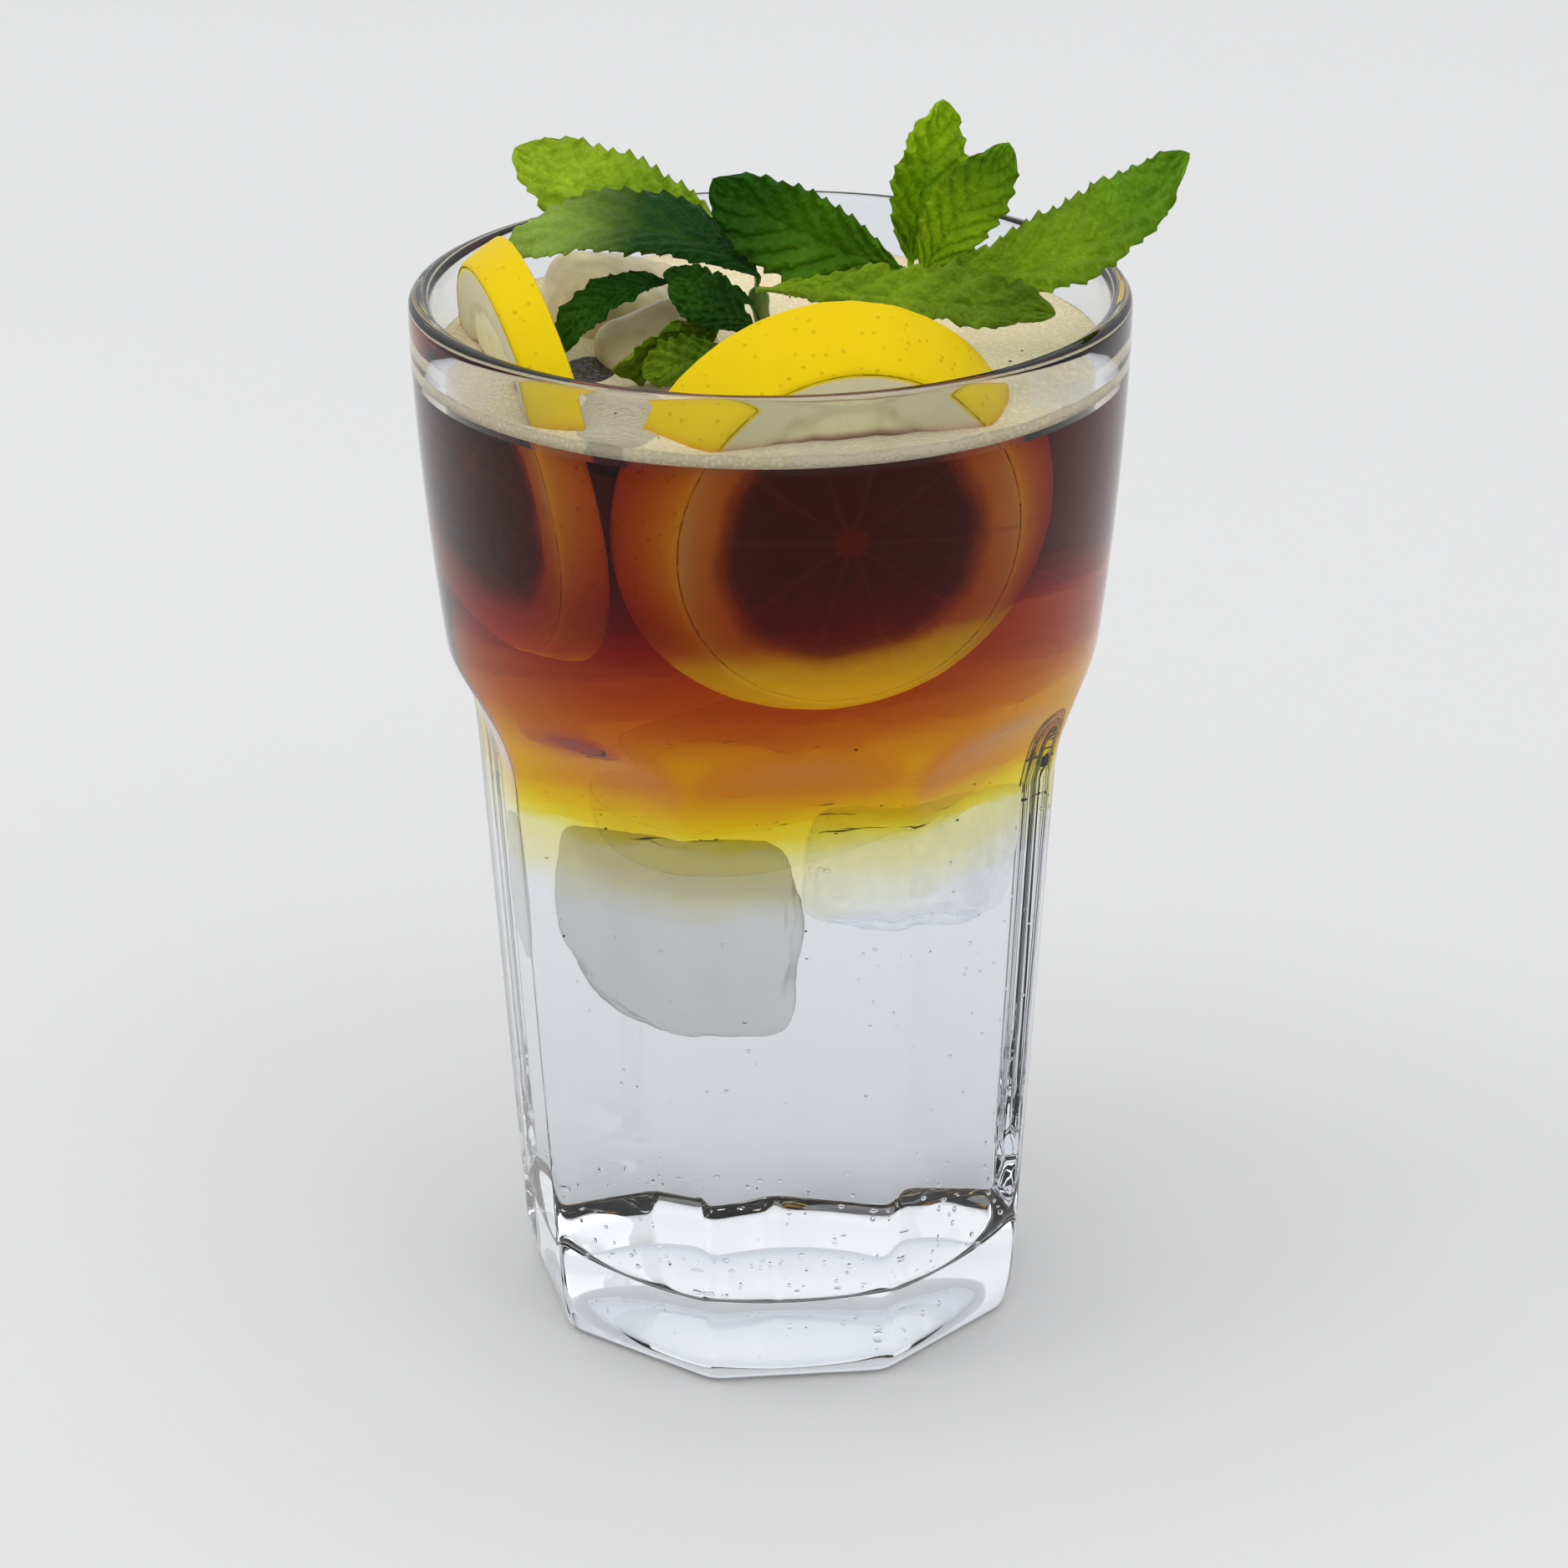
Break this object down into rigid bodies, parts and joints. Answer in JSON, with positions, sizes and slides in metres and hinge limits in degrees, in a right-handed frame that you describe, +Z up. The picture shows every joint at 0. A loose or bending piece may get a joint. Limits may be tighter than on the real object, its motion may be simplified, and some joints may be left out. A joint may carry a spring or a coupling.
{
  "type": "espresso tonic in a glass",
  "caption": "Tall facetted glass of espresso tonic: dark coffee over clear tonic, lemon slices and ice at the top, and mint sprigs standing in it.",
  "frame": {"origin": "middle of the foot, on the plane that the glass stands on", "axes": "+Z up along the glass axis, -Y towards the front, +X to the right seen from the front"},
  "size_m": [0.0969, 0.09, 0.1624],
  "materials": {
    "glass": "clear pressed soda glass with a faint blue-grey tint",
    "tonic": "clear colourless tonic water with small bubbles",
    "blend": "amber where coffee fades into tonic, gold below",
    "espresso": "dark red-brown coffee, nearly opaque",
    "crema": "cream-coloured foam line",
    "lemon": "yellow peel with oil glands, white pith, pale pulp",
    "ice": "melting ice with a film of coffee foam",
    "mint_leaf": "fresh green leaf with raised veins",
    "mint_stem": "green stem"
  },
  "bodies": {
    "root": {"blend": "blend", "crema": "crema", "espresso": "espresso", "glass": "glass", "ice_back": "ice", "ice_clear": "ice", "ice_low": "ice", "ice_middle": "ice", "leaf_arched_left": "mint_leaf", "leaf_back_left": "mint_leaf", "leaf_centre": "mint_leaf", "leaf_front_left": "mint_leaf", "leaf_front_right": "mint_leaf", "leaf_front_small": "mint_leaf", "leaf_inner_high": "mint_leaf", "leaf_inner_low": "mint_leaf", "leaf_low_left": "mint_leaf", "leaf_right": "mint_leaf", "leaf_top": "mint_leaf", "leaf_top_front": "mint_leaf", "lemon_slice_front": "lemon", "lemon_slice_left": "lemon", "lemon_slice_low": "lemon", "stem_left": "mint_stem", "stem_middle": "mint_stem", "stem_right": "mint_stem", "tonic": "tonic"}
  },
  "joints": []
}
